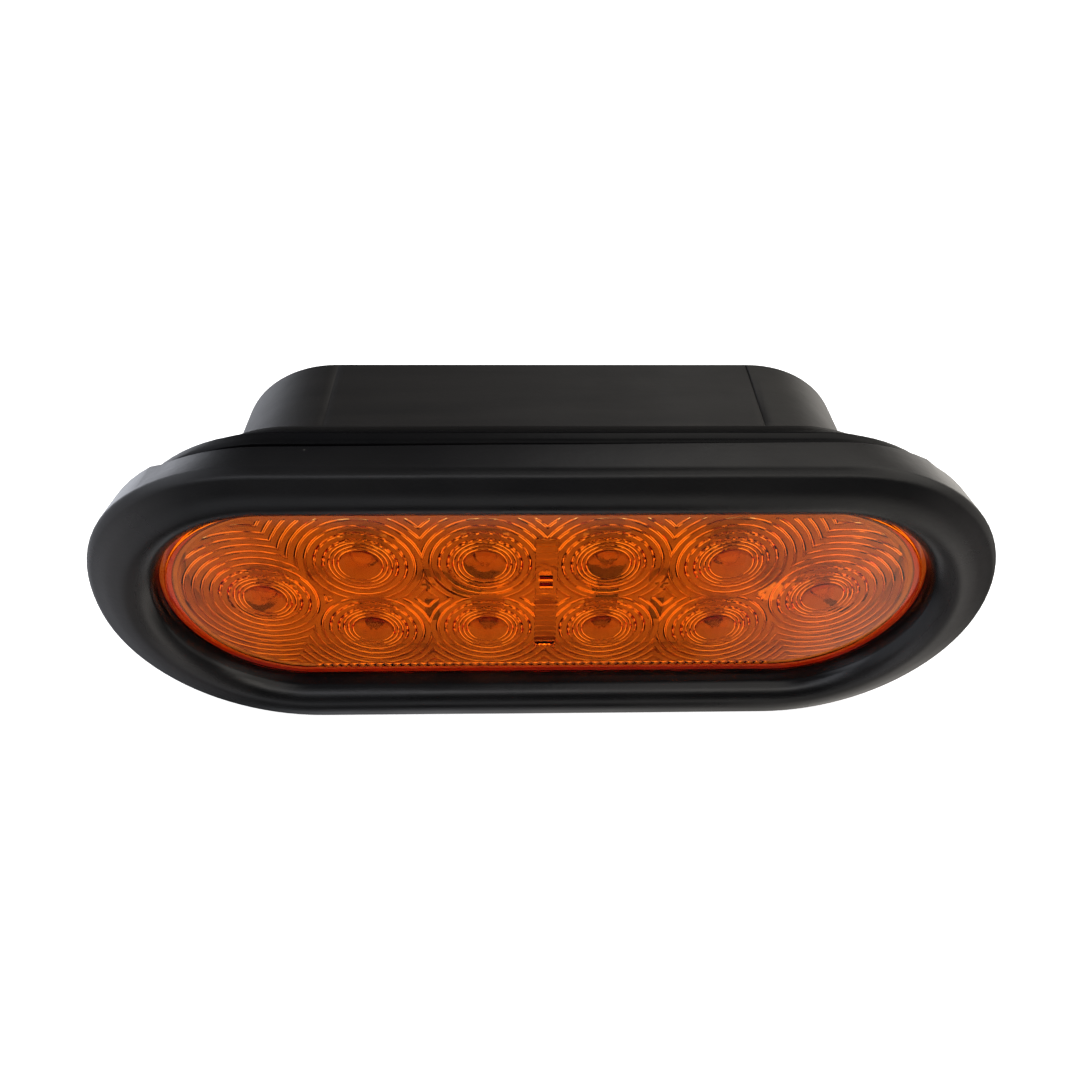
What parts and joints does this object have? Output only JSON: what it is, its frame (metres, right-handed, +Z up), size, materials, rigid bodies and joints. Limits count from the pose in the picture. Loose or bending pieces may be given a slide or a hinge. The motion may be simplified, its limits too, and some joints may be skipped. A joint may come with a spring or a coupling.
{
  "type": "trailer tail light",
  "caption": "Oval amber marker and turn lamp for a trailer, held in a closed-back rubber grommet that snaps into a panel hole.",
  "frame": {"origin": "centre of the oval panel hole, in the plane of the panel face on which the back of the rubber flange rests", "axes": "+X along the oval, -Y out of the lens, +Y into the panel, +Z up"},
  "size_m": [0.1888, 0.0619, 0.0808],
  "materials": {
    "rubber": "moulded satin black",
    "amber_plastic": "clear moulded amber",
    "sealant": "satin",
    "black_plastic": "satin outside, light reflector coat inside",
    "board": "buff solder mask",
    "led_epoxy": "clear epoxy",
    "tinned_steel": "tinned",
    "resistor_ceramic": "glazed top",
    "black_epoxy": "matt",
    "aluminium_can": "satin",
    "brass": "plated",
    "solder": "bright",
    "potting_resin": "smooth",
    "screw_steel": "zinc plated"
  },
  "bodies": {
    "root": {"grommet": "rubber", "lens": "amber_plastic", "housing": "black_plastic", "pin_tail": "brass", "pin_ground": "brass", "pin_turn": "brass", "lens_seal": "sealant", "circuit_board": "board", "led_end_left": "led_epoxy", "led_end_right": "led_epoxy", "led_upper_far_left": "led_epoxy", "led_upper_left": "led_epoxy", "led_upper_right": "led_epoxy", "led_upper_far_right": "led_epoxy", "led_lower_far_left": "led_epoxy", "led_lower_left": "led_epoxy", "led_lower_right": "led_epoxy", "led_lower_far_right": "led_epoxy", "led_legs": "tinned_steel", "resistor_upper_left": "resistor_ceramic", "resistor_upper_right": "resistor_ceramic", "resistor_lower_left": "resistor_ceramic", "resistor_lower_right": "resistor_ceramic", "diode_tail": "black_epoxy", "diode_turn": "black_epoxy", "surge_clamp": "black_epoxy", "capacitor": "aluminium_can", "pin_solder": "solder", "potting": "potting_resin", "board_screws": "screw_steel"}
  },
  "joints": []
}
